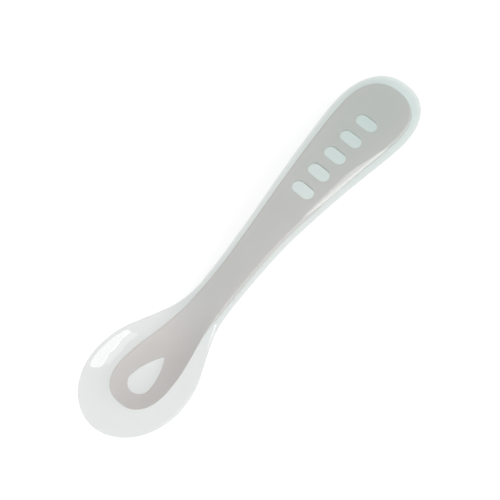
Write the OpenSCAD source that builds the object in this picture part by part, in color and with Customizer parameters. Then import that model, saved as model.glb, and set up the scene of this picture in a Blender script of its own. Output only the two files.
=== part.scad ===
// Training spoon for a small child: a stiff grey core inside a clear, soft silicone jacket.
// Millimetres, +Z up. The spoon lies on its belly, with its length along X and the bowl at -X.
// The origin is the centre of the spoon's outline, on the surface that it lies on.

/* [Bowl] */
// Length from the tip of the bowl to the middle of the neck
bowl_l = 55; // [46:0.5:64]
// Width of the bowl over its lip
bowl_w = 32; // [27:0.5:38]
// Place of the bowl's widest point, from the tip
bowl_widest = 20; // [17:0.5:23]
// Depth of the bowl below its lip
bowl_depth = 4.6; // [3.5:0.1:6]
// Place of the bowl's deepest point, from the tip
bowl_deepest = 26; // [22:0.5:30]
// Wall thickness of the bowl
bowl_wall = 2.3; // [1.9:0.1:2.8]
// Height of the lip's middle at the tip, over its lowest place at the neck
tip_rise = 6; // [4:0.1:8]

/* [Handle] */
// Length from the middle of the neck to the end of the handle
handle_l = 90; // [75:1:110]
// Width of the neck
neck_w = 12.6; // [11:0.1:15]
// Thickness of the neck
neck_t = 6.4; // [5.6:0.1:7.6]
// Greatest width of the handle
grip_w = 25.4; // [21:0.1:30]
// Greatest thickness of the handle
grip_t = 8.4; // [7.2:0.1:10]
// Height of the handle's arch over the neck
arch_rise = 6.8; // [5:0.1:8]
// Place of the grip's widest point, from the end
grip_widest = 18; // [15:0.5:22]
// Length over which the end of the grip rounds off in thickness
end_round = 7; // [5:0.5:9]

/* [Core] */
// Thickness of the core in the handle
core_t = 2.4; // [2:0.1:2.8]
// Thickness of the core in the bowl
core_bowl_t = 1; // [0.8:0.1:1.2]
// Clear silicone beside the core at the neck
neck_edge = 2.1; // [1.8:0.1:2.6]
// Clear silicone beside the core at the grip
grip_edge = 2.8; // [2.2:0.1:3.4]
// Clear silicone past the core at the end of the handle
end_edge = 4.8; // [3.8:0.1:5.8]
// Clear silicone past the core at the tip of the bowl
tip_edge = 11; // [9:0.5:13]
// Width of the core's ring in the bowl
ring_w = 17.4; // [15:0.1:20]
// Place of the ring's widest point, from its front
ring_front = 11.4; // [9.5:0.1:13]

/* [Windows] */
// Width of the drop-shaped window in the bowl
drop_w = 7.4; // [6:0.1:8.5]
// Length of the drop-shaped window
drop_l = 14.6; // [12:0.1:16.5]
// Width of the core's ring at the front of the drop
drop_edge = 5.1; // [4.2:0.1:6]
// Rounding of the drop's point
drop_point_r = 0.5; // [0.4:0.1:0.7]
// Number of slots in the grip
slot_count = 5; // [3:1:5]
// Width of each slot, along the handle
slot_w = 4.2; // [3.4:0.1:4.8]
// Length of each slot, across the handle
slot_l = 7.3; // [6:0.1:8.5]
// Core left between two slots
slot_gap = 3.2; // [2.6:0.1:3.8]
// Core left between the last slot and the core's end
slot_edge = 13.2; // [10.7:0.5:15.7]

/* [Rest] */
// Depth of the flats on which the spoon lies, at the belly and under the end
flat_depth = 0.25; // [0.2:0.05:0.3]

/* [Hidden] */
$fn = 48;
// Cuts run past the solid by this much
overrun = 1;

total_l = bowl_l + handle_l;
core_start = tip_edge;
core_end = total_l - end_edge;
ring_widest = core_start + ring_front;
drop_start = core_start + drop_edge;

// Rings across the length and steps round each section
bowl_rings = 20;
mid_rings = 30;
end_rings = 12;
flat_steps = 12;
round_steps = 5;
// Roundness of the outline at the tip, at the grip's end and at the core's ends: 2 is an ellipse
tip_power = 2;
end_power = 2.3;
core_power = 2.4;
// Part of the section's half width that stays level before its side rounds off
grip_level_share = 0.22;
// Width of the lip's rounding as a share of the wall
lip_round_share = 0.62;
// Bend of the bowl across its width: 2 is a parabola
cup_power = 2;
// Swell of the drop's sides, and the rounds that they follow: 1 makes the sides straight
drop_power = 1.7;
drop_steps = 12;

// Tables of places and values: each row has a place along its zone and a share of the size that changes there.
// From the bowl's width at its widest to the neck's width
bowl_taper_shares = [[0, 0], [0.14, 0.04], [0.29, 0.18], [0.43, 0.4], [0.57, 0.63], [0.71, 0.84], [0.86, 0.96], [1, 1]];
// From the neck's width to the grip's width
grip_flare_shares = [[0, 0], [0.15, 0.03], [0.33, 0.15], [0.5, 0.36], [0.66, 0.58], [0.83, 0.82], [0.93, 0.95], [1, 1]];
// From the bowl's depth at its deepest to none at the neck
bowl_floor_shares = [[0, 1], [0.2, 0.93], [0.4, 0.7], [0.6, 0.38], [0.8, 0.1], [1, 0]];
// From the bowl's wall to the neck's thickness, between the bowl's deepest point and the neck
wall_shares = [[0, 0], [0.3, 0.03], [0.5, 0.22], [0.7, 0.6], [0.85, 0.88], [1, 1]];
// From the neck's thickness to the grip's thickness
grip_swell_shares = [[0, 0], [0.2, 0.04], [0.5, 0.38], [0.8, 0.85], [1, 1]];
// From the ring's width to the core's width at the neck
ring_taper_shares = [[0, 0], [0.2, 0.13], [0.42, 0.43], [0.6, 0.68], [0.78, 0.88], [1, 1]];
// Lip from the tip to the neck, as a share of tip_rise
lip_shares = [[0, 1], [0.22, 0.72], [0.45, 0.41], [0.69, 0.11], [0.85, 0.01], [1, 0.1]];
// Handle from the neck to its end, as a share of arch_rise
arch_shares = [[0, 0.09], [0.1, 0.37], [0.22, 0.76], [0.38, 1], [0.55, 0.95], [0.72, 0.6], [0.88, 0.11], [1, -0.3]];

// Slope of a table's curve at one row
function slope(rows, i) =
    let (before = max(i - 1, 0), after = min(i + 1, len(rows) - 1))
    (rows[after][1] - rows[before][1]) / (rows[after][0] - rows[before][0]);

// Row of a table that a place comes after
function row_before(rows, place, i = 0) =
    i >= len(rows) - 2 || place < rows[i + 1][0] ? i : row_before(rows, place, i + 1);

// Smooth curve through a table's rows
function curve(rows, place) =
    let (i = row_before(rows, place), a = rows[i], b = rows[i + 1], run = b[0] - a[0])
    let (t = min(max((place - a[0]) / run, 0), 1), rest = 1 - t)
    a[1] * rest * rest * (1 + 2 * t) + b[1] * t * t * (3 - 2 * t)
    + run * t * rest * (slope(rows, i) * rest - slope(rows, i + 1) * t);

// Value between two sizes, by a table
function blend(rows, place, first, last) = first + (last - first) * curve(rows, place);

// Rounding-off of an end: 0 at the end, 1 from a given distance inwards
function closing(distance, reach, power) =
    let (t = min(max(1 - distance / reach, 0), 1)) pow(max(1 - pow(t, power), 0), 1 / power);

// Place of s in a zone between two places
function part(s, from, to) = min(max((s - from) / (to - from), 0), 1);

// Half the jacket's width at the distance s from the tip
function half_width(s) =
    let (body = s < bowl_l
        ? blend(bowl_taper_shares, part(s, bowl_widest, bowl_l), bowl_w, neck_w)
        : blend(grip_flare_shares, part(s, bowl_l, total_l - grip_widest), neck_w, grip_w))
    body / 2 * closing(s, bowl_widest, tip_power) * closing(total_l - s, grip_widest, end_power);

// Half the jacket's thickness at the middle of its section
function half_thick(s) =
    let (body = s < bowl_l
        ? blend(wall_shares, part(s, bowl_deepest, bowl_l), bowl_wall, neck_t)
        : blend(grip_swell_shares, part(s, bowl_l, total_l - grip_widest), neck_t, grip_t))
    body / 2 * closing(s, bowl_wall, tip_power) * closing(total_l - s, end_round, tip_power);

// Height of the spoon's middle surface at its side, before it is set down
function side_height(s) =
    s < bowl_l ? tip_rise * curve(lip_shares, part(s, 0, bowl_l))
    : arch_rise * curve(arch_shares, part(s, bowl_l, total_l));

// Depth of the middle surface below the sides, at the distance y from the middle
function cup(s, y) =
    let (depth = bowl_depth * (s < bowl_deepest
        ? closing(s, bowl_deepest, tip_power)
        : curve(bowl_floor_shares, part(s, bowl_deepest, bowl_l))))
    depth * max(1 - pow(min(abs(y) / max(half_width(s), bowl_wall), 1), cup_power), 0);

// The spoon is set down with the lowest place of its belly one flat's depth under the ground
belly = min([for (i = [0 : mid_rings]) let (s = bowl_l * i / mid_rings) side_height(s) - cup(s, 0) - half_thick(s)]);
lift = -belly - flat_depth;

// Half the core's width
function core_half_width(s) =
    let (edge = blend(grip_flare_shares, part(s, bowl_l, total_l - grip_widest), neck_edge, grip_edge))
    let (neck = neck_w / 2 - neck_edge)
    let (body = s < bowl_l
        ? blend(ring_taper_shares, part(s, ring_widest, bowl_l), ring_w / 2, neck)
        : blend(grip_flare_shares, part(s, bowl_l, total_l - grip_widest), neck_w, grip_w) / 2 - edge)
    body * closing(s - core_start, ring_widest - core_start, core_power)
    * closing(core_end - s, grip_widest - end_edge, core_power);

// Half the core's thickness
function core_half_thick(s) = blend(wall_shares, part(s, bowl_deepest, bowl_l), core_bowl_t, core_t) / 2;

// Places along a body: close together at both ends, where its outline turns
function stations(from, to, head, tail, head_rings, middle_rings, tail_rings) = concat(
    [for (i = [1 : head_rings]) from + head * (1 - cos(90 * i / head_rings))],
    [for (i = [1 : middle_rings]) from + head + (to - tail - from - head) * i / middle_rings],
    [for (i = [1 : tail_rings - 1]) to - tail + tail * sin(90 * i / tail_rings)]
);

// Width over which the section rounds off at each side: the lip in the bowl, most of the section in the grip
function round_width(s) =
    let (w = half_width(s), lip = min(w, bowl_wall * lip_round_share))
    lip + (w * (1 - grip_level_share) - lip) * max(curve(wall_shares, part(s, bowl_deepest, bowl_l)), 0);

// One ring of the jacket: along its top from +Y to -Y, then back along its bottom
function jacket_ring(s) =
    let (round_w = min(round_width(s), half_width(s)), level = half_width(s) - round_w)
    let (across = concat(
        [for (i = [0 : round_steps - 1]) [level + round_w * cos(90 * i / round_steps), sin(90 * i / round_steps)]],
        [for (i = [0 : flat_steps]) [level * (1 - 2 * i / flat_steps), 1]],
        [for (i = [1 : round_steps]) [-level - round_w * sin(90 * i / round_steps), cos(90 * i / round_steps)]]))
    let (top = [for (p = across) [s, p[0], side_height(s) - cup(s, p[0]) + half_thick(s) * p[1]]])
    let (bottom = [for (p = across) [s, p[0], side_height(s) - cup(s, p[0]) - half_thick(s) * p[1]]])
    concat(top, [for (i = [1 : len(across) - 2]) bottom[len(across) - 1 - i]]);

// One ring of the core
function core_ring(s) =
    let (w = core_half_width(s), t = core_half_thick(s))
    let (across = [for (i = [0 : flat_steps]) w * (1 - 2 * i / flat_steps)])
    concat(
        [for (y = across) [s, y, side_height(s) - cup(s, y) + t]],
        [for (i = [0 : flat_steps]) let (y = across[flat_steps - i]) [s, y, side_height(s) - cup(s, y) - t]]);

// Closed solid through rings of equal counts, with a point or an edge at each end
module loft(rings, first, last) {
    count = len(rings[0]);
    points = concat([first], [for (ring = rings) for (p = ring) p], [last]);
    end_point = len(points) - 1;
    polyhedron(points, concat(
        [for (j = [0 : count - 1]) [0, 1 + j, 1 + (j + 1) % count]],
        [for (i = [0 : len(rings) - 2]) for (j = [0 : count - 1])
            let (a = 1 + i * count + j, b = 1 + i * count + (j + 1) % count)
            each [[b, a, b + count], [b + count, a, a + count]]],
        [for (j = [0 : count - 1])
            let (base = 1 + (len(rings) - 1) * count) [end_point, base + (j + 1) % count, base + j]]));
}

// Spoon's outer form, not yet flattened underneath
module outer_form() {
    places = stations(0, total_l, bowl_widest, grip_widest, bowl_rings, mid_rings, end_rings);
    translate([-total_l / 2, 0, lift])
        loft([for (s = places) jacket_ring(s)], [0, 0, side_height(0)], [total_l, 0, side_height(total_l)]);
}

// Core's plate before its windows are cut
module core_plate() {
    places = stations(core_start, core_end, ring_widest - core_start, grip_widest - end_edge,
        round_steps * 2, mid_rings, round_steps * 2);
    middle_start = [core_start, 0, side_height(core_start) - cup(core_start, 0)];
    middle_end = [core_end, 0, side_height(core_end)];
    translate([-total_l / 2, 0, lift])
        loft([for (s = places) core_ring(s)], middle_start, middle_end);
}

// Outline of a drop with its point towards +X and its round front at the origin
module drop_outline() {
    front_r = drop_w / 2;
    run = drop_l - front_r - drop_point_r;
    hull()
        for (i = [0 : drop_steps])
            translate([front_r + run * i / drop_steps, 0])
                circle(drop_point_r + (front_r - drop_point_r) * (1 - pow(i / drop_steps, drop_power)));
}

// Slot with round ends, across the handle
module slot_outline() {
    straight = slot_l - slot_w;
    square([slot_w, straight], center = true);
    for (side = [-1, 1]) translate([0, side * straight / 2]) circle(d = slot_w);
}

// Cutters for every window of the core
module windows() {
    reach = bowl_depth + tip_rise + arch_rise + grip_t + overrun;
    pitch = slot_w + slot_gap;
    translate([drop_start - total_l / 2, 0, -overrun]) linear_extrude(reach) drop_outline();
    for (i = [0 : slot_count - 1])
        translate([core_end - slot_edge - i * pitch - slot_w / 2 - total_l / 2, 0, -overrun])
            linear_extrude(reach) slot_outline();
}

// Grey core: one stiff plate from the bowl to the end of the handle
module core() {
    color("#b9b5b2") difference() {
        core_plate();
        windows();
    }
}

// Clear silicone jacket, moulded round the core and through its windows
module jacket() {
    color("#dfe9e6", 0.45) difference() {
        outer_form();
        translate([-total_l / 2 - overrun, -bowl_w, -grip_t])
            cube([total_l + 2 * overrun, 2 * bowl_w, grip_t]);
        core();
    }
}

jacket();
core();
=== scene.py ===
"""Looks of a training spoon for a small child: a stiff grey core inside a clear, soft silicone jacket.

Lengths are in metres. The spoon lies along X with its bowl at -X, on the plane z = 0. A place along the spoon
is a distance from the tip of the bowl.
"""

import logging
import math
from collections.abc import Callable
from dataclasses import dataclass, field
from enum import Enum

import bmesh
import bpy
from mathutils import Matrix, Vector


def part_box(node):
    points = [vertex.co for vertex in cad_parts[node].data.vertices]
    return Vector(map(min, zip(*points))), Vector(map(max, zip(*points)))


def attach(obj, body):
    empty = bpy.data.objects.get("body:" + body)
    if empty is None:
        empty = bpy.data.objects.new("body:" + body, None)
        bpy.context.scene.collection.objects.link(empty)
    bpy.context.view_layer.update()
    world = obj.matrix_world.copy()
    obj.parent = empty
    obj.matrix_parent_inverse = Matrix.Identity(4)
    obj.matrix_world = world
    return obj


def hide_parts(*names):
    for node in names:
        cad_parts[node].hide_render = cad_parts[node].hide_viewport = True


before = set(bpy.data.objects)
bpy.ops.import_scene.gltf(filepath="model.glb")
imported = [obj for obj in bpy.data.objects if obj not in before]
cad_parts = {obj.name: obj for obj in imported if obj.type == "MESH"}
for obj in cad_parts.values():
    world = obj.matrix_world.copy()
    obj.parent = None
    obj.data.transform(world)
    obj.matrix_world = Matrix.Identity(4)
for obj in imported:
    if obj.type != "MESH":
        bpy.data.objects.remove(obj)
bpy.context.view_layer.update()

MM = 0.001
WELD = 0.001 * MM
log = logging.getLogger("spoon")

Rows = tuple[tuple[float, float], ...]


class Node(str, Enum):
    """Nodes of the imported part."""

    JACKET = "jacket"
    CORE = "core"


class Slot(str, Enum):
    """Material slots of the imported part."""

    SILICONE = "clear_silicone"
    CORE = "grey_core"


class Face(Enum):
    """Side of a section that a point lies on."""

    TOP = 1
    BOTTOM = -1


@dataclass(frozen=True)
class Curve:
    """Smooth curve through rows of a place and a value.

    Attributes:
        rows: Places and values, in order of place.
    """

    rows: Rows

    def slope(self, row: int) -> float:
        """Returns the curve's slope at one row.

        Args:
            row: Number of the row.

        Returns:
            The slope between the row's neighbours.
        """
        before = self.rows[max(row - 1, 0)]
        after = self.rows[min(row + 1, len(self.rows) - 1)]
        return (after[1] - before[1]) / (after[0] - before[0])

    def at(self, place: float) -> float:
        """Returns the curve's value at a place.

        Args:
            place: Place between the first row and the last.

        Returns:
            The value there.
        """
        row = 0
        while row < len(self.rows) - 2 and place >= self.rows[row + 1][0]:
            row += 1
        first, last = self.rows[row], self.rows[row + 1]
        run = last[0] - first[0]
        t = clamp((place - first[0]) / run)
        rest = 1 - t
        level = first[1] * rest * rest * (1 + 2 * t) + last[1] * t * t * (3 - 2 * t)
        return level + run * t * rest * (self.slope(row) * rest - self.slope(row + 1) * t)


def clamp(value: float, low: float = 0.0, high: float = 1.0) -> float:
    """Returns a value kept between two limits.

    Args:
        value: Value to keep.
        low: Lower limit.
        high: Upper limit.

    Returns:
        The nearest value inside the limits.
    """
    return min(max(value, low), high)


def closing(distance: float, reach: float, power: float) -> float:
    """Returns how far an end has rounded off.

    Args:
        distance: Distance from the end.
        reach: Distance from the end at which the rounding starts.
        power: Roundness of the end, 2 for an ellipse.

    Returns:
        0 at the end and 1 from the reach inwards.
    """
    t = clamp(1 - distance / reach)
    return max(1 - t**power, 0.0) ** (1 / power)


def part(place: float, start: float, end: float) -> float:
    """Returns how far a place lies from the start of a zone to its end, from 0 to 1.

    Args:
        place: Place along the spoon.
        start: Start of the zone.
        end: End of the zone.

    Returns:
        The share of the zone that lies behind the place.
    """
    return clamp((place - start) / (end - start))


@dataclass(frozen=True)
class SpoonForm:
    """Outer form and middle surface of the spoon.

    Attributes:
        total_l: Length of the spoon.
        bowl_w: Width of the bowl.

    The other sizes have the names that they have in the part's own source.
    """

    total_l: float
    bowl_w: float
    bowl_l: float = 55 * MM
    bowl_widest: float = 20 * MM
    bowl_depth: float = 4.6 * MM
    bowl_deepest: float = 26 * MM
    bowl_wall: float = 2.3 * MM
    tip_rise: float = 6 * MM
    neck_w: float = 12.6 * MM
    neck_t: float = 6.4 * MM
    grip_w: float = 25.4 * MM
    grip_t: float = 8.4 * MM
    arch_rise: float = 6.8 * MM
    grip_widest: float = 18 * MM
    end_round: float = 7 * MM
    flat_depth: float = 0.25 * MM
    grip_level_share: float = 0.22
    lip_round_share: float = 0.62
    tip_power: float = 2.0
    end_power: float = 2.3
    cup_power: float = 2.0
    belly_steps: int = 30
    bowl_taper: Curve = Curve(
        ((0, 0), (0.14, 0.04), (0.29, 0.18), (0.43, 0.4), (0.57, 0.63), (0.71, 0.84), (0.86, 0.96), (1, 1))
    )
    grip_flare: Curve = Curve(
        ((0, 0), (0.15, 0.03), (0.33, 0.15), (0.5, 0.36), (0.66, 0.58), (0.83, 0.82), (0.93, 0.95), (1, 1))
    )
    bowl_floor: Curve = Curve(((0, 1), (0.2, 0.93), (0.4, 0.7), (0.6, 0.38), (0.8, 0.1), (1, 0)))
    wall_growth: Curve = Curve(((0, 0), (0.3, 0.03), (0.5, 0.22), (0.7, 0.6), (0.85, 0.88), (1, 1)))
    grip_swell: Curve = Curve(((0, 0), (0.2, 0.04), (0.5, 0.38), (0.8, 0.85), (1, 1)))
    lip_line: Curve = Curve(((0, 1), (0.22, 0.72), (0.45, 0.41), (0.69, 0.11), (0.85, 0.01), (1, 0.1)))
    arch: Curve = Curve(
        ((0, 0.09), (0.1, 0.37), (0.22, 0.76), (0.38, 1), (0.55, 0.95), (0.72, 0.6), (0.88, 0.11), (1, -0.3))
    )

    def to_neck(self, place: float) -> float:
        """Returns how far a place lies from the bowl's deepest point to the neck."""
        return part(place, self.bowl_deepest, self.bowl_l)

    def to_grip(self, place: float) -> float:
        """Returns how far a place lies from the neck to the grip's widest point."""
        return part(place, self.bowl_l, self.total_l - self.grip_widest)

    def half_width(self, place: float) -> float:
        """Returns half the jacket's width at a place."""
        if place < self.bowl_l:
            share = self.bowl_taper.at(part(place, self.bowl_widest, self.bowl_l))
            body = self.bowl_w + (self.neck_w - self.bowl_w) * share
        else:
            body = self.neck_w + (self.grip_w - self.neck_w) * self.grip_flare.at(self.to_grip(place))
        tip = closing(place, self.bowl_widest, self.tip_power)
        return body / 2 * tip * closing(self.total_l - place, self.grip_widest, self.end_power)

    def half_thick(self, place: float) -> float:
        """Returns half the jacket's thickness at the middle of its section."""
        if place < self.bowl_l:
            share = self.wall_growth.at(self.to_neck(place))
            body = self.bowl_wall + (self.neck_t - self.bowl_wall) * share
        else:
            body = self.neck_t + (self.grip_t - self.neck_t) * self.grip_swell.at(self.to_grip(place))
        tip = closing(place, self.bowl_wall, self.tip_power)
        return body / 2 * tip * closing(self.total_l - place, self.end_round, self.tip_power)

    def side_height(self, place: float) -> float:
        """Returns the height of the middle surface at the spoon's sides, before it is set down."""
        if place < self.bowl_l:
            return self.tip_rise * self.lip_line.at(part(place, 0, self.bowl_l))
        return self.arch_rise * self.arch.at(part(place, self.bowl_l, self.total_l))

    def cup(self, place: float, y: float) -> float:
        """Returns the depth of the middle surface below the sides.

        Args:
            place: Place along the spoon.
            y: Distance from the spoon's middle plane.

        Returns:
            The depth, which is 0 at the sides and outside the bowl.
        """
        if place < self.bowl_deepest:
            share = closing(place, self.bowl_deepest, self.tip_power)
        else:
            share = self.bowl_floor.at(self.to_neck(place))
        side = clamp(abs(y) / max(self.half_width(place), self.bowl_wall))
        return self.bowl_depth * share * (1 - side**self.cup_power)

    def lift(self) -> float:
        """Returns how far the spoon is raised so that its belly rests on the ground."""
        places = [self.bowl_l * step / self.belly_steps for step in range(self.belly_steps + 1)]
        belly = min(self.side_height(s) - self.cup(s, 0) - self.half_thick(s) for s in places)
        return -belly - self.flat_depth

    def round_width(self, place: float) -> float:
        """Returns the width over which the section rounds off at each side."""
        width = self.half_width(place)
        lip = min(width, self.bowl_wall * self.lip_round_share)
        share = max(self.wall_growth.at(self.to_neck(place)), 0.0)
        return min(lip + (width * (1 - self.grip_level_share) - lip) * share, width)


@dataclass(frozen=True)
class Track:
    """Spacing of a skin's rows: close together at both ends, where the outline turns.

    Attributes:
        start: First place.
        end: Last place.
        head: Length of the close rows at the start.
        tail: Length of the close rows at the end.
        head_rows: Number of rows in the head.
        middle_rows: Number of rows between head and tail.
        tail_rows: Number of rows in the tail.
    """

    start: float
    end: float
    head: float
    tail: float
    head_rows: int
    middle_rows: int
    tail_rows: int

    @property
    def rows(self) -> int:
        """Returns the number of steps from the first row to the last."""
        return self.head_rows + self.middle_rows + self.tail_rows

    def place(self, row: int) -> float:
        """Returns the place of one row.

        Args:
            row: Number of the row, from 0.

        Returns:
            Its place along the spoon.
        """
        if row <= self.head_rows:
            return self.start + self.head * (1 - math.cos(math.pi / 2 * row / self.head_rows))
        row -= self.head_rows
        if row <= self.middle_rows:
            run = self.end - self.tail - self.start - self.head
            return self.start + self.head + run * row / self.middle_rows
        row -= self.middle_rows
        return self.end - self.tail + self.tail * math.sin(math.pi / 2 * row / self.tail_rows)


@dataclass(frozen=True)
class Ring:
    """Way round a flat section: its top from +Y to -Y, then its bottom back.

    Attributes:
        level_steps: Steps across the level part of the top, and of the bottom.
        round_steps: Steps round each quarter of the sides.
    """

    level_steps: int
    round_steps: int

    @property
    def steps(self) -> int:
        """Returns the number of steps round the whole section."""
        return 2 * self.level_steps + 4 * self.round_steps

    def point(self, step: int, half_width: float, round_width: float) -> tuple[float, float]:
        """Returns one point of the section.

        Args:
            step: Number of the step, from 0 at the +Y side.
            half_width: Half the section's width.
            round_width: Width over which each side rounds off.

        Returns:
            The distance from the middle plane, and the share of half the thickness, negative below.
        """
        half = self.steps // 2
        face = Face.TOP if step <= half else Face.BOTTOM
        step = step if face is Face.TOP else self.steps - step
        level = half_width - round_width
        quarter = math.pi / 2 / self.round_steps
        if step < self.round_steps:
            return level + round_width * math.cos(quarter * step), face.value * math.sin(quarter * step)
        step -= self.round_steps
        if step <= self.level_steps:
            return level * (1 - 2 * step / self.level_steps), float(face.value)
        step -= self.level_steps
        return -level - round_width * math.sin(quarter * step), face.value * math.cos(quarter * step)


def wrap_grid(rows: int, steps: int, skin: Callable[[int, int], Vector]) -> bmesh.types.BMesh:
    """Wraps a grid round a form and closes its seam and its two ends.

    Args:
        rows: Steps along the form.
        steps: Steps round the form.
        skin: Gives the point of a row and a step.

    Returns:
        The closed mesh.
    """
    mesh = bmesh.new()
    bmesh.ops.create_grid(mesh, x_segments=rows, y_segments=steps, size=1)
    for vert in mesh.verts:
        row = round((vert.co.x + 1) / 2 * rows)
        step = round((vert.co.y + 1) / 2 * steps) % steps
        vert.co = skin(row, step)
    bmesh.ops.remove_doubles(mesh, verts=mesh.verts, dist=WELD)
    bmesh.ops.recalc_face_normals(mesh, faces=mesh.faces)
    return mesh


def to_object(mesh: bmesh.types.BMesh, name: str) -> bpy.types.Object:
    """Makes a scene object of a mesh, with smooth faces.

    Args:
        mesh: Mesh to use, which is freed.
        name: Name of the piece.

    Returns:
        The object, at the origin.
    """
    for face in mesh.faces:
        face.smooth = True
    data = bpy.data.meshes.new(name)
    mesh.to_mesh(data)
    mesh.free()
    piece = bpy.data.objects.new(name, data)
    bpy.context.scene.collection.objects.link(piece)
    return piece


class ShaderTree:
    """Short calls for making and joining a material's nodes."""

    def __init__(self, tree: bpy.types.NodeTree) -> None:
        """Empties a node tree for new nodes.

        Args:
            tree: Tree of a material, a world, a lamp or a group.
        """
        self.tree = tree
        tree.nodes.clear()

    def add(self, kind: str, **values: object) -> bpy.types.Node:
        """Adds a node and sets its properties.

        Args:
            kind: Blender's name for the kind of node.
            **values: Properties to set.

        Returns:
            The node.
        """
        node = self.tree.nodes.new(kind)
        for name, value in values.items():
            setattr(node, name, value)
        return node

    def join(self, source: bpy.types.NodeSocket, target: bpy.types.NodeSocket) -> None:
        """Joins an output to an input."""
        self.tree.links.new(source, target)

    def any_ray(self, *rays: str) -> bpy.types.NodeSocket:
        """Returns a socket that is 1 for any of the named kinds of ray.

        Args:
            *rays: Names of the Light Path node's outputs.

        Returns:
            The socket.
        """
        path = self.add("ShaderNodeLightPath")
        socket = path.outputs[rays[0]]
        for ray in rays[1:]:
            either = self.add("ShaderNodeMath", operation="MAXIMUM")
            self.join(socket, either.inputs[0])
            self.join(path.outputs[ray], either.inputs[1])
            socket = either.outputs[0]
        return socket


class MouldTexture:
    """Node group for the slight unevenness that a mould leaves on a surface."""

    NAME = "mould_texture"
    DETAIL = 4.0
    UNEVENNESS = 0.6

    @classmethod
    def group(cls) -> bpy.types.NodeTree:
        """Returns the group, and builds it the first time."""
        found = bpy.data.node_groups.get(cls.NAME)
        if found:
            return found
        tree = bpy.data.node_groups.new(cls.NAME, "ShaderNodeTree")
        sockets = (("Scale", "INPUT", 400.0), ("Low", "INPUT", 0.0), ("High", "INPUT", 1.0))
        for name, way, default in sockets:
            socket = tree.interface.new_socket(name, in_out=way, socket_type="NodeSocketFloat")
            socket.default_value = default
        for name in ("Roughness", "Height"):
            tree.interface.new_socket(name, in_out="OUTPUT", socket_type="NodeSocketFloat")
        shader = ShaderTree(tree)
        given = shader.add("NodeGroupInput")
        place = shader.add("ShaderNodeTexCoord")
        noise = shader.add("ShaderNodeTexNoise")
        noise.inputs["Detail"].default_value = cls.DETAIL
        noise.inputs["Roughness"].default_value = cls.UNEVENNESS
        spread = shader.add("ShaderNodeMapRange")
        result = shader.add("NodeGroupOutput")
        shader.join(place.outputs["Object"], noise.inputs["Vector"])
        shader.join(given.outputs["Scale"], noise.inputs["Scale"])
        shader.join(noise.outputs["Fac"], spread.inputs["Value"])
        shader.join(given.outputs["Low"], spread.inputs["To Min"])
        shader.join(given.outputs["High"], spread.inputs["To Max"])
        shader.join(spread.outputs["Result"], result.inputs["Roughness"])
        shader.join(noise.outputs["Fac"], result.inputs["Height"])
        return tree

    @classmethod
    def place_in(cls, shader: ShaderTree, scale: float, low: float, high: float) -> bpy.types.Node:
        """Places the group in a material.

        Args:
            shader: Material's tree.
            scale: Scale of the unevenness, in waves a metre.
            low: Lowest roughness.
            high: Highest roughness.

        Returns:
            The group's node.
        """
        node = shader.add("ShaderNodeGroup", node_tree=cls.group())
        node.inputs["Scale"].default_value = scale
        node.inputs["Low"].default_value = low
        node.inputs["High"].default_value = high
        return node


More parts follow.
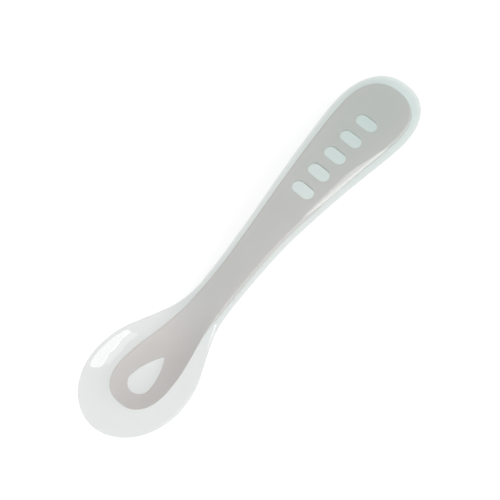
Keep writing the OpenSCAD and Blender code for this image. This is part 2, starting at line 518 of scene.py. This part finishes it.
@dataclass(frozen=True)
class ClearSilicone:
    """Finish of the jacket: clear, glossy silicone rubber with a faint sea-green tint where it is thick, and painted
    shade that darkens its colour towards the handle end.

    Attributes:
        ior: Index of refraction.
        gloss_ior: Index that sets the strength of the surface's gloss.
        pass_through: Colour of the light that the surface lets through.
        end_tint_and_shade: The same at the end of the handle: darker, partly for the deeper tint of the thickest
            silicone and partly as painted shade of the floor under the handle end.
        tint_and_shade_from: X at which the colour starts to change.
        tint_and_shade_to: X at which it has changed.
        deepest_path: Number of turns after which light goes straight through every wall.
        clearness: Share of the light that goes through and isn't scattered.
        tint: Colour that the silicone passes.
        tint_density: Strength of the tint, per metre.
        lamp_pass: Colour of light after it has gone straight through a wall.
        smudge_scale: Scale of the smudges, in waves a metre.
        smooth: Roughness of the cleanest places.
        smudged: Roughness of the most smudged places.
        ripple: Height of the surface's slight waves.
    """

    ior: float = 1.41
    gloss_ior: float = 1.5
    pass_through: tuple[float, float, float] = (0.67, 0.65, 0.64)
    # Darker at the handle end: partly the thick silicone's deeper tint, partly painted shade of the floor under the
    # handle end.
    end_tint_and_shade: tuple[float, float, float] = (0.60, 0.61, 0.595)
    tint_and_shade_from: float = 15 * MM
    tint_and_shade_to: float = 60 * MM
    deepest_path: int = 0
    clearness: float = 0.94
    tint: tuple[float, float, float] = (0.35, 0.80, 0.74)
    tint_density: float = 38.0
    lamp_pass: tuple[float, float, float] = (0.96, 0.96, 0.96)
    smudge_scale: float = 260.0
    smooth: float = 0.02
    smudged: float = 0.05
    ripple: float = 0.0012 * MM

    def colour(self, shader: ShaderTree) -> bpy.types.NodeSocket:
        """Makes the colour of the passed light, which darkens along the handle: partly the deeper tint of the thick
        silicone, partly painted shade.

        Args:
            shader: Material's tree.

        Returns:
            The colour.
        """
        place = shader.add("ShaderNodeTexCoord")
        split = shader.add("ShaderNodeSeparateXYZ")
        along = shader.add("ShaderNodeMapRange", interpolation_type="SMOOTHSTEP")
        along.inputs["From Min"].default_value = self.tint_and_shade_from
        along.inputs["From Max"].default_value = self.tint_and_shade_to
        colour = shader.add("ShaderNodeMix", data_type="RGBA")
        colour.inputs["A"].default_value = (*self.pass_through, 1.0)
        # Towards the handle end the passed light is darker: partly the deeper tint of the thick silicone, partly
        # painted shade of the floor under the handle end.
        colour.inputs["B"].default_value = (*self.end_tint_and_shade, 1.0)
        shader.join(place.outputs["Object"], split.inputs["Vector"])
        shader.join(split.outputs["X"], along.inputs["Value"])
        shader.join(along.outputs["Result"], colour.inputs["Factor"])
        return colour.outputs["Result"]

    def body(self, shader: ShaderTree) -> bpy.types.NodeSocket:
        """Makes the glossy, clear body of the silicone.

        Args:
            shader: Material's tree.

        Returns:
            The body's shader.
        """
        texture = MouldTexture.place_in(shader, self.smudge_scale, self.smooth, self.smudged)
        bump = shader.add("ShaderNodeBump")
        bump.inputs["Strength"].default_value = 1.0
        bump.inputs["Distance"].default_value = self.ripple
        body = shader.add("ShaderNodeBsdfPrincipled")
        body.inputs["IOR"].default_value = self.ior
        body.inputs["Metallic"].default_value = 0.0
        body.inputs["Transmission Weight"].default_value = self.clearness
        body.inputs["Coat Weight"].default_value = 1.0
        body.inputs["Coat IOR"].default_value = self.gloss_ior
        body.inputs["Coat Roughness"].default_value = self.smooth
        shader.join(self.colour(shader), body.inputs["Base Color"])
        shader.join(texture.outputs["Roughness"], body.inputs["Roughness"])
        shader.join(texture.outputs["Height"], bump.inputs["Height"])
        shader.join(bump.outputs["Normal"], body.inputs["Normal"])
        return body.outputs["BSDF"]

    def straight(self, shader: ShaderTree) -> bpy.types.NodeSocket:
        """Makes a socket that is 1 for the light that goes straight through.

        Args:
            shader: Material's tree.

        Returns:
            The socket.
        """
        path = shader.add("ShaderNodeLightPath")
        trapped = shader.add("ShaderNodeMath", operation="GREATER_THAN")
        trapped.inputs[1].default_value = self.deepest_path
        straight = shader.add("ShaderNodeMath", operation="MAXIMUM")
        shader.join(path.outputs["Ray Depth"], trapped.inputs[0])
        shader.join(trapped.outputs[0], straight.inputs[0])
        shader.join(shader.any_ray("Is Shadow Ray", "Is Diffuse Ray"), straight.inputs[1])
        return straight.outputs[0]

    def material(self) -> bpy.types.Material:
        """Returns the finish as a material."""
        material = bpy.data.materials.new("clear_silicone")
        material.use_nodes = True
        shader = ShaderTree(material.node_tree)
        clear = shader.add("ShaderNodeBsdfTransparent")
        clear.inputs["Color"].default_value = (*self.lamp_pass, 1.0)
        mix = shader.add("ShaderNodeMixShader")
        depth = shader.add("ShaderNodeVolumeAbsorption")
        depth.inputs["Color"].default_value = (*self.tint, 1.0)
        depth.inputs["Density"].default_value = self.tint_density
        result = shader.add("ShaderNodeOutputMaterial")
        shader.join(self.straight(shader), mix.inputs["Fac"])
        shader.join(self.body(shader), mix.inputs[1])
        shader.join(clear.outputs["BSDF"], mix.inputs[2])
        shader.join(mix.outputs["Shader"], result.inputs["Surface"])
        shader.join(depth.outputs["Volume"], result.inputs["Volume"])
        return material


@dataclass(frozen=True)
class GreyPlastic:
    """Finish of the core: warm light-grey moulded plastic with a soft sheen.

    Attributes:
        pale: Lighter of the two greys that it varies between.
        deep: Darker of the two greys.
        cloud_scale: Scale of the change between the greys, in waves a metre.
        grain_scale: Scale of the grain, in waves a metre.
        grain_low: Lowest roughness.
        grain_high: Highest roughness.
        grain: Height of the grain.
    """

    pale: tuple[float, float, float] = (0.68, 0.635, 0.625)
    deep: tuple[float, float, float] = (0.65, 0.605, 0.595)
    cloud_scale: float = 90.0
    grain_scale: float = 1800.0
    grain_low: float = 0.42
    grain_high: float = 0.55
    grain: float = 0.004 * MM

    def material(self) -> bpy.types.Material:
        """Returns the finish as a material."""
        material = bpy.data.materials.new("grey_core")
        material.use_nodes = True
        shader = ShaderTree(material.node_tree)
        place = shader.add("ShaderNodeTexCoord")
        cloud = shader.add("ShaderNodeTexNoise")
        cloud.inputs["Scale"].default_value = self.cloud_scale
        blend = shader.add("ShaderNodeMix", data_type="RGBA")
        blend.inputs["A"].default_value = (*self.deep, 1.0)
        blend.inputs["B"].default_value = (*self.pale, 1.0)
        texture = MouldTexture.place_in(shader, self.grain_scale, self.grain_low, self.grain_high)
        bump = shader.add("ShaderNodeBump")
        bump.inputs["Strength"].default_value = 1.0
        bump.inputs["Distance"].default_value = self.grain
        body = shader.add("ShaderNodeBsdfPrincipled")
        result = shader.add("ShaderNodeOutputMaterial")
        shader.join(place.outputs["Object"], cloud.inputs["Vector"])
        shader.join(cloud.outputs["Fac"], blend.inputs["Factor"])
        shader.join(blend.outputs["Result"], body.inputs["Base Color"])
        shader.join(texture.outputs["Roughness"], body.inputs["Roughness"])
        shader.join(texture.outputs["Height"], bump.inputs["Height"])
        shader.join(bump.outputs["Normal"], body.inputs["Normal"])
        shader.join(body.outputs["BSDF"], result.inputs["Surface"])
        return material


@dataclass(frozen=True)
class WhiteGround:
    """Finish of the floor: white in the picture, with the object's shadow kept.

    Attributes:
        bounce: Colour of the floor for the light that it gives back to the spoon.
        bounce_glow: Brightness that is added to that light.
        seen: Colour of the floor as the camera and mirrored light see it.
        glow: Brightness that is added for them.
    """

    bounce: tuple[float, float, float] = (0.45, 0.45, 0.45)
    bounce_glow: float = 0.45
    seen: tuple[float, float, float] = (0.3, 0.3, 0.3)
    glow: float = 0.76

    def material(self) -> bpy.types.Material:
        """Returns the finish as a material."""
        material = bpy.data.materials.new("white_ground")
        material.use_nodes = True
        shader = ShaderTree(material.node_tree)
        bounce = shader.add("ShaderNodeBsdfDiffuse")
        bounce.inputs["Color"].default_value = (*self.bounce, 1.0)
        bounce_glow = shader.add("ShaderNodeEmission")
        bounce_glow.inputs["Strength"].default_value = self.bounce_glow
        given_back = shader.add("ShaderNodeAddShader")
        shader.join(bounce.outputs["BSDF"], given_back.inputs[0])
        shader.join(bounce_glow.outputs["Emission"], given_back.inputs[1])
        seen = shader.add("ShaderNodeBsdfDiffuse")
        seen.inputs["Color"].default_value = (*self.seen, 1.0)
        glow = shader.add("ShaderNodeEmission")
        glow.inputs["Strength"].default_value = self.glow
        both = shader.add("ShaderNodeAddShader")
        mix = shader.add("ShaderNodeMixShader")
        result = shader.add("ShaderNodeOutputMaterial")
        shader.join(seen.outputs["BSDF"], both.inputs[0])
        shader.join(glow.outputs["Emission"], both.inputs[1])
        shader.join(shader.any_ray("Is Camera Ray", "Is Glossy Ray"), mix.inputs["Fac"])
        shader.join(given_back.outputs["Shader"], mix.inputs[1])
        shader.join(both.outputs["Shader"], mix.inputs[2])
        shader.join(mix.outputs["Shader"], result.inputs["Surface"])
        return material


@dataclass(frozen=True)
class Jacket:
    """Clear silicone jacket: bowl, lip, neck and handle in one skin.

    Attributes:
        form: Form of the spoon.
        finish: Finish of the silicone.
        ring: Steps round each section.
        track_rows: Rows in the head, the middle and the tail of the skin.
        smoothing: Number of rounds of smoothing.
        smoothing_step: Strength of each round.
    """

    form: SpoonForm
    finish: ClearSilicone = ClearSilicone()
    ring: Ring = Ring(level_steps=40, round_steps=18)
    track_rows: tuple[int, int, int] = (90, 270, 60)
    smoothing: int = 6
    smoothing_step: float = 0.5

    def skin(self) -> bmesh.types.BMesh:
        """Returns the closed outer skin."""
        form = self.form
        track = Track(0, form.total_l, form.bowl_widest, form.grip_widest, *self.track_rows)
        lift = form.lift()

        def point(row: int, step: int) -> Vector:
            place = track.place(row)
            y, share = self.ring.point(step, form.half_width(place), form.round_width(place))
            height = form.side_height(place) - form.cup(place, y) + form.half_thick(place) * share
            return Vector((place - form.total_l / 2, y, height + lift))

        mesh = wrap_grid(track.rows, self.ring.steps, point)
        for _ in range(self.smoothing):
            bmesh.ops.smooth_vert(
                mesh, verts=mesh.verts, factor=self.smoothing_step, use_axis_x=True, use_axis_y=True, use_axis_z=True
            )
        for vert in mesh.verts:
            vert.co.z = max(vert.co.z, 0.0)
        return mesh

    def build(self) -> bpy.types.Object:
        """Builds and dresses the jacket, and returns it."""
        piece = to_object(self.skin(), "silicone_jacket")
        piece.data.materials.append(self.finish.material())
        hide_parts(Node.JACKET.value)
        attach(piece, "root")
        return piece


@dataclass(frozen=True)
class Core:
    """Grey core: one stiff plate with a drop-shaped window in the bowl and a row of slots in the grip.

    Attributes:
        form: Form of the spoon.
        start: Place of the core's front end.
        end: Place of the core's back end.
        finish: Finish of the plastic.
        cutter_low: Height at which the cutters of the windows start.
        cutter_high: Height at which they end.
        cutter_sides: Number of sides of each cutter.
        sharp_angle: Angle between faces from which their edge is sharp.
        ring: Steps round each section.
        track_rows: Rows in the head, the middle and the tail of the plate.

    The other sizes have the names that they have in the part's own source.
    """

    form: SpoonForm
    start: float
    end: float
    finish: GreyPlastic = GreyPlastic()
    thick: float = 2.4 * MM
    bowl_thick: float = 1 * MM
    neck_edge: float = 2.1 * MM
    grip_edge: float = 2.8 * MM
    ring_w: float = 17.4 * MM
    ring_front: float = 11.4 * MM
    edge_round: float = 0.25 * MM
    power: float = 2.4
    drop_w: float = 7.4 * MM
    drop_l: float = 14.6 * MM
    drop_edge: float = 5.1 * MM
    drop_point_r: float = 0.5 * MM
    drop_power: float = 1.7
    drop_steps: int = 12
    slot_count: int = 5
    slot_w: float = 4.2 * MM
    slot_l: float = 7.3 * MM
    slot_gap: float = 3.2 * MM
    slot_edge: float = 13.2 * MM
    cutter_low: float = -5 * MM
    cutter_high: float = 30 * MM
    cutter_sides: int = 96
    sharp_angle: float = math.radians(38)
    ring: Ring = Ring(level_steps=44, round_steps=3)
    track_rows: tuple[int, int, int] = (26, 130, 26)
    ring_taper: Curve = Curve(((0, 0), (0.2, 0.13), (0.42, 0.43), (0.6, 0.68), (0.78, 0.88), (1, 1)))

    def half_width(self, place: float) -> float:
        """Returns half the core's width at a place."""
        form = self.form
        flare = form.grip_flare.at(form.to_grip(place))
        if place < form.bowl_l:
            neck = form.neck_w / 2 - self.neck_edge
            share = self.ring_taper.at(part(place, self.start + self.ring_front, form.bowl_l))
            body = self.ring_w / 2 + (neck - self.ring_w / 2) * share
        else:
            edge = self.neck_edge + (self.grip_edge - self.neck_edge) * flare
            body = (form.neck_w + (form.grip_w - form.neck_w) * flare) / 2 - edge
        tail = form.grip_widest - (form.total_l - self.end)
        front = closing(place - self.start, self.ring_front, self.power)
        return body * front * closing(self.end - place, tail, self.power)

    def half_thick(self, place: float) -> float:
        """Returns half the core's thickness at a place."""
        share = self.form.wall_growth.at(self.form.to_neck(place))
        return (self.bowl_thick + (self.thick - self.bowl_thick) * share) / 2

    def plate(self) -> bmesh.types.BMesh:
        """Returns the plate before its windows are cut."""
        form = self.form
        tail = form.grip_widest - (form.total_l - self.end)
        track = Track(self.start, self.end, self.ring_front, tail, *self.track_rows)
        lift = form.lift()

        def point(row: int, step: int) -> Vector:
            place = track.place(row)
            width = self.half_width(place)
            y, share = self.ring.point(step, width, min(self.edge_round, width))
            thick = self.half_thick(place)
            level = thick - self.edge_round
            height = (level + self.edge_round * abs(share)) * math.copysign(1, share) if share else 0.0
            return Vector((place - form.total_l / 2, y, form.side_height(place) - form.cup(place, y) + height + lift))

        return wrap_grid(track.rows, self.ring.steps, point)

    def round_cutter(self, name: str, rounds: list[tuple[float, float, float]]) -> bpy.types.Object:
        """Makes an upright cutter with the outline that encloses some circles.

        Args:
            name: Name of the cutter.
            rounds: X, Y and radius of each circle.

        Returns:
            The cutter.
        """
        mesh = bmesh.new()
        bmesh.ops.create_cone(mesh, cap_ends=True, segments=self.cutter_sides, radius1=1, radius2=1, depth=1)
        for vert in mesh.verts:
            way = vert.co.to_2d().normalized()
            x, y, radius = max(rounds, key=lambda each: each[0] * way.x + each[1] * way.y + each[2])
            height = self.cutter_high if vert.co.z > 0 else self.cutter_low
            vert.co = Vector((x + radius * way.x, y + radius * way.y, height))
        bmesh.ops.recalc_face_normals(mesh, faces=mesh.faces)
        return to_object(mesh, name)

    def cutters(self) -> list[bpy.types.Object]:
        """Returns a cutter for each window."""
        start = self.start + self.drop_edge - self.form.total_l / 2
        front = self.drop_w / 2
        run = self.drop_l - front - self.drop_point_r
        drop = []
        for step in range(self.drop_steps + 1):
            share = step / self.drop_steps
            radius = self.drop_point_r + (front - self.drop_point_r) * (1 - share**self.drop_power)
            drop.append((start + front + run * share, 0.0, radius))
        made = [self.round_cutter("drop_cutter", drop)]
        first = self.end - self.slot_edge - self.slot_w / 2 - self.form.total_l / 2
        reach = (self.slot_l - self.slot_w) / 2
        for number in range(self.slot_count):
            x = first - number * (self.slot_w + self.slot_gap)
            rounds = [(x, reach, self.slot_w / 2), (x, -reach, self.slot_w / 2)]
            made.append(self.round_cutter(f"slot_cutter_{number + 1}", rounds))
        return made

    def cut(self, plate: bpy.types.Object) -> None:
        """Cuts the windows out of the plate.

        Args:
            plate: Plate whose mesh is replaced by the cut one.
        """
        for cutter in self.cutters():
            window = plate.modifiers.new(cutter.name, "BOOLEAN")
            window.operation = "DIFFERENCE"
            window.solver = "EXACT"
            window.object = cutter
            cut = plate.evaluated_get(bpy.context.evaluated_depsgraph_get())
            plain = plate.data
            plate.data = bpy.data.meshes.new_from_object(cut)
            plate.modifiers.clear()
            log.info("%s: %d faces before, %d after", cutter.name, len(plain.polygons), len(plate.data.polygons))
            bpy.data.meshes.remove(plain)
            bpy.data.objects.remove(cutter)
        plate.data.set_sharp_from_angle(angle=self.sharp_angle)

    def build(self) -> bpy.types.Object:
        """Builds and dresses the core, and returns it."""
        piece = to_object(self.plate(), "grey_core")
        self.cut(piece)
        piece.data.materials.append(self.finish.material())
        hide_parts(Node.CORE.value)
        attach(piece, "root")
        return piece


def bearing_way(bearing: float, elevation: float) -> Vector:
    """Returns the direction from the spoon to a place in its surroundings.

    Args:
        bearing: Angle from +X towards +Y, in degrees.
        elevation: Height over the ground, in degrees.

    Returns:
        The direction, of length 1.
    """
    turn, height = math.radians(bearing), math.radians(elevation)
    return Vector((math.cos(height) * math.cos(turn), math.cos(height) * math.sin(turn), math.sin(height)))


@dataclass(frozen=True)
class Softbox:
    """Rectangular studio lamp that points at the spoon.

    Attributes:
        name: Name of the lamp.
        bearing: Direction from the spoon, counted from +X towards +Y, in degrees.
        elevation: Height over the ground as seen from the spoon, in degrees.
        width: Width of the lamp.
        height: Height of the lamp.
        brightness: Brightness of its face, where white paper in full light is 1.
        distance: Distance from the spoon.
    """

    name: str
    bearing: float
    elevation: float
    width: float
    height: float
    brightness: float
    distance: float = 0.7

    def build(self) -> None:
        """Places the lamp in the scene."""
        lamp = bpy.data.lights.new(self.name, "AREA")
        lamp.shape = "RECTANGLE"
        lamp.size = self.width
        lamp.size_y = self.height
        lamp.energy = self.brightness * math.pi * self.width * self.height
        way = bearing_way(self.bearing, self.elevation)
        holder = bpy.data.objects.new(self.name, lamp)
        turn = way.to_track_quat("Z", "Y").to_matrix().to_4x4()
        holder.matrix_world = Matrix.Translation(way * self.distance) @ turn
        bpy.context.scene.collection.objects.link(holder)


@dataclass(frozen=True)
class Studio:
    """Plain white ground, soft lamps and pale surroundings.

    Attributes:
        floor_size: Length of the floor's sides.
        floor_drop: Gap between the floor and the spoon, which keeps their faces apart.
        ground: Finish of the floor.
        lamps: Lamps with edges, which show as crisp highlights.
        low_wall: Brightness of the surroundings at the height of the ground.
        ceiling: Brightness of the surroundings overhead.
        wall_top: Sine of the height at which the low wall has faded.
        glow_way: Direction of the wide glow round the key lamp.
        glow: Brightness of the wide glow at its middle.
        glow_rim: Cosine of the angle from its middle at which the wide glow has faded.
        glow_heart: Cosine of the angle up to which the wide glow is full.
        plain_after: Number of turns after which mirrored light sees the plain backdrop.
    """

    floor_size: float = 6.0
    floor_drop: float = 0.02 * MM
    ground: WhiteGround = WhiteGround()
    low_wall: float = 1.3
    ceiling: float = 0.42
    wall_top: float = 0.52
    glow_way: tuple[float, float] = (-100.0, 50.0)
    glow: float = 1.9
    glow_rim: float = 0.70
    glow_heart: float = 0.97
    plain_after: int = 1
    lamps: tuple[Softbox, ...] = (
        Softbox("key_softbox", -62, 43, 0.34, 0.27, 2.5),
        Softbox("upper_softbox", -62, 56, 0.30, 0.07, 1.0),
    )

    def floor(self) -> None:
        """Lays the floor."""
        mesh = bmesh.new()
        place = Matrix.Translation((0, 0, -self.floor_drop))
        bmesh.ops.create_grid(mesh, x_segments=1, y_segments=1, size=self.floor_size / 2, matrix=place)
        floor = to_object(mesh, "floor")
        floor.data.materials.append(self.ground.material())

    def surroundings(self, shader: ShaderTree) -> bpy.types.NodeSocket:
        """Makes the brightness of the surroundings by direction.

        Args:
            shader: World's tree.

        Returns:
            The brightness.
        """
        way = shader.add("ShaderNodeTexCoord")
        split = shader.add("ShaderNodeSeparateXYZ")
        shader.join(way.outputs["Generated"], split.inputs["Vector"])
        wall = shader.add("ShaderNodeMapRange", interpolation_type="SMOOTHSTEP")
        wall.inputs["From Min"].default_value = 0.0
        wall.inputs["From Max"].default_value = self.wall_top
        wall.inputs["To Min"].default_value = self.low_wall
        wall.inputs["To Max"].default_value = self.ceiling
        shader.join(split.outputs["Z"], wall.inputs["Value"])
        facing = shader.add("ShaderNodeVectorMath", operation="DOT_PRODUCT")
        facing.inputs[1].default_value = bearing_way(*self.glow_way)
        shader.join(way.outputs["Generated"], facing.inputs[0])
        lobe = shader.add("ShaderNodeMapRange", interpolation_type="SMOOTHSTEP")
        lobe.inputs["From Min"].default_value = self.glow_rim
        lobe.inputs["From Max"].default_value = self.glow_heart
        lobe.inputs["To Max"].default_value = self.glow
        shader.join(facing.outputs["Value"], lobe.inputs["Value"])
        both = shader.add("ShaderNodeMath", operation="ADD")
        shader.join(wall.outputs["Result"], both.inputs[0])
        shader.join(lobe.outputs["Result"], both.inputs[1])
        return both.outputs[0]

    def backdrop_rays(self, shader: ShaderTree) -> bpy.types.NodeSocket:
        """Makes a socket that is 1 for the light that sees the plain backdrop.

        Args:
            shader: World's tree.

        Returns:
            The socket.
        """
        path = shader.add("ShaderNodeLightPath")
        deep = shader.add("ShaderNodeMath", operation="GREATER_THAN")
        deep.inputs[1].default_value = self.plain_after
        mirrored = shader.add("ShaderNodeMath", operation="MULTIPLY")
        plain = shader.add("ShaderNodeMath", operation="MAXIMUM")
        shader.join(path.outputs["Ray Depth"], deep.inputs[0])
        shader.join(deep.outputs[0], mirrored.inputs[0])
        shader.join(path.outputs["Is Glossy Ray"], mirrored.inputs[1])
        shader.join(mirrored.outputs[0], plain.inputs[0])
        shader.join(shader.any_ray("Is Camera Ray", "Is Transmission Ray"), plain.inputs[1])
        return plain.outputs[0]

    def world(self) -> None:
        """Sets the surroundings: white to the camera, and soft light on the object."""
        world = bpy.data.worlds.new("studio")
        world.use_nodes = True
        bpy.context.scene.world = world
        shader = ShaderTree(world.node_tree)
        room = shader.add("ShaderNodeBackground")
        room.inputs["Color"].default_value = (1.0, 1.0, 1.0, 1.0)
        backdrop = shader.add("ShaderNodeBackground")
        backdrop.inputs["Color"].default_value = (1.0, 1.0, 1.0, 1.0)
        mix = shader.add("ShaderNodeMixShader")
        result = shader.add("ShaderNodeOutputWorld")
        shader.join(self.surroundings(shader), room.inputs["Strength"])
        shader.join(self.backdrop_rays(shader), mix.inputs["Fac"])
        shader.join(room.outputs["Background"], mix.inputs[1])
        shader.join(backdrop.outputs["Background"], mix.inputs[2])
        shader.join(mix.outputs["Shader"], result.inputs["Surface"])

    def build(self) -> None:
        """Builds the whole studio."""
        self.floor()
        self.world()
        for lamp in self.lamps:
            lamp.build()
        bpy.context.scene.view_settings.view_transform = "Standard"


@dataclass(frozen=True)
class PhotoCamera:
    """Camera at the photograph's viewing angle.

    Attributes:
        lean_to_bowl: Tilt of the line of sight from upright towards the bowl, in degrees.
        lean_to_side: Tilt towards the -Y side, in degrees.
        side_slope: Slope in the picture of the direction -Y, below its right, in degrees.
        focal_px: Focal length in pixels of the picture.
        centre_px: Pixel that the line of sight passes, from the left and from the top.
        picture_px: Width of the picture in pixels.
        sensor: Width of the camera's sensor, in millimetres.
        distance: Distance from the target.
        target: Point that the line of sight passes.
    """

    lean_to_bowl: float = 12.638
    lean_to_side: float = 13.484
    side_slope: float = 38.904
    focal_px: float = 2325.7
    centre_px: tuple[float, float] = (254.07, 249.13)
    picture_px: float = 500.0
    sensor: float = 36.0
    distance: float = 0.7
    target: Vector = field(default_factory=lambda: Vector((0, 0, 8 * MM)))

    def build(self) -> None:
        """Places the camera and makes it the scene's own."""
        bowl, side = math.radians(self.lean_to_bowl), math.radians(self.lean_to_side)
        back = Vector((-math.sin(bowl) * math.cos(side), -math.sin(side), math.cos(bowl) * math.cos(side)))
        away = Vector((0, -1, 0))
        away = (away - back * back.dot(away)).normalized()
        square = back.cross(away)
        slope = math.radians(self.side_slope)
        right = away * math.cos(slope) + square * math.sin(slope)
        up = back.cross(right)
        data = bpy.data.cameras.new("photo_camera")
        data.sensor_width = self.sensor
        data.lens = self.focal_px / self.picture_px * self.sensor
        data.shift_x = (self.picture_px / 2 - self.centre_px[0]) / self.picture_px
        data.shift_y = (self.centre_px[1] - self.picture_px / 2) / self.picture_px
        camera = bpy.data.objects.new("photo_camera", data)
        turn = Matrix((right, up, back)).transposed().to_4x4()
        camera.matrix_world = Matrix.Translation(self.target + back * self.distance) @ turn
        bpy.context.scene.collection.objects.link(camera)
        bpy.context.scene.camera = camera


def main() -> None:
    """Builds the spoon, the studio and the camera."""
    logging.basicConfig(level=logging.INFO, format="%(name)s: %(message)s")
    low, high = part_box(Node.JACKET.value)
    core_low, core_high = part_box(Node.CORE.value)
    form = SpoonForm(total_l=high.x - low.x, bowl_w=high.y - low.y)
    makers = (
        Jacket(form),
        Core(form, start=core_low.x - low.x, end=core_high.x - low.x),
    )
    for maker in makers:
        piece = maker.build()
        log.info("%s: %d faces", piece.name, len(piece.data.polygons))
    Studio().build()
    PhotoCamera().build()


if __name__ == "__main__":
    main()
